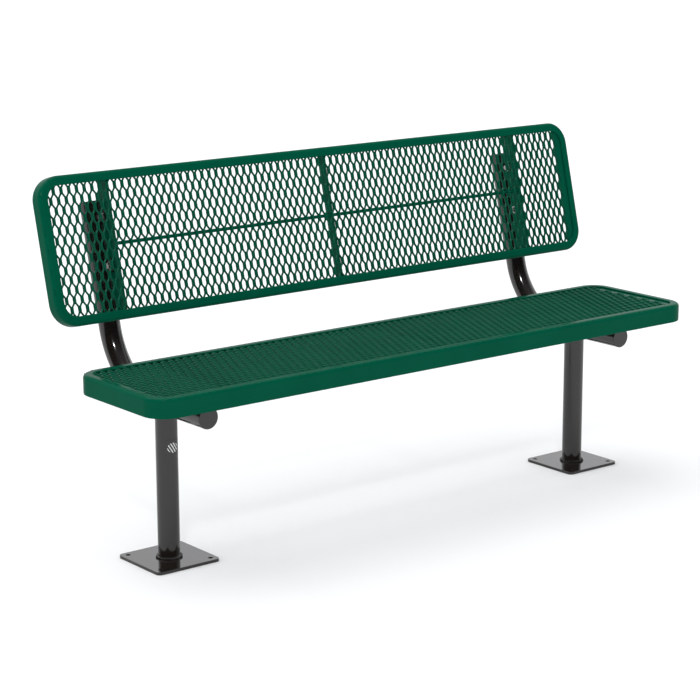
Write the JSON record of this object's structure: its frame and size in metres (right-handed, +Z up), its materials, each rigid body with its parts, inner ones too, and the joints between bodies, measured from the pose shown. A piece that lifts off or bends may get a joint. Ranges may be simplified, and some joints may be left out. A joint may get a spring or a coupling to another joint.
{
  "type": "park bench",
  "caption": "Park bench with a back: green coated expanded-mesh seat and back on dark bent-tube supports with bolt-down base plates.",
  "frame": {"origin": "centre of the bounding box's base, on the floor", "axes": "+X along the bench to its right-hand end, +Y from the seat's front edge to the back, +Z up"},
  "size_m": [1.829, 0.6282, 0.977],
  "materials": {
    "coated_rim": "green plastic coating on steel, satin gloss",
    "coated_mesh": "green plastic coating on expanded steel, satin gloss",
    "dark_frame": "very dark brown-black powder coat, high gloss",
    "zinc": "zinc-plated steel",
    "label": "blank film label"
  },
  "bodies": {
    "root": {"seat_rim": "coated_rim", "seat_mesh": "coated_mesh", "seat_bar_centre": "coated_rim", "seat_bar_left": "coated_rim", "seat_rod_left": "coated_rim", "seat_lug_front_left": "dark_frame", "seat_lug_rear_left": "dark_frame", "seat_bolts_left": "zinc", "seat_nuts_left": "zinc", "seat_washers_left": "zinc", "seat_bar_right": "coated_rim", "seat_rod_right": "coated_rim", "seat_lug_front_right": "dark_frame", "seat_lug_rear_right": "dark_frame", "seat_bolts_right": "zinc", "seat_nuts_right": "zinc", "seat_washers_right": "zinc", "back_rim": "coated_rim", "back_mesh": "coated_mesh", "back_bar_centre": "coated_rim", "back_bar_left": "coated_rim", "back_rod_left": "coated_rim", "back_lug_lower_left": "dark_frame", "back_lug_upper_left": "dark_frame", "back_bolts_left": "zinc", "back_nuts_left": "zinc", "back_washers_left": "zinc", "back_bar_right": "coated_rim", "back_rod_right": "coated_rim", "back_lug_lower_right": "dark_frame", "back_lug_upper_right": "dark_frame", "back_bolts_right": "zinc", "back_nuts_right": "zinc", "back_washers_right": "zinc", "base_plate_left": "dark_frame", "post_left": "dark_frame", "post_weld_left": "dark_frame", "support_tube_left": "dark_frame", "arm_cap_left": "dark_frame", "top_cap_left": "dark_frame", "base_plate_right": "dark_frame", "post_right": "dark_frame", "post_weld_right": "dark_frame", "support_tube_right": "dark_frame", "arm_cap_right": "dark_frame", "top_cap_right": "dark_frame", "post_label": "label"}
  },
  "joints": []
}
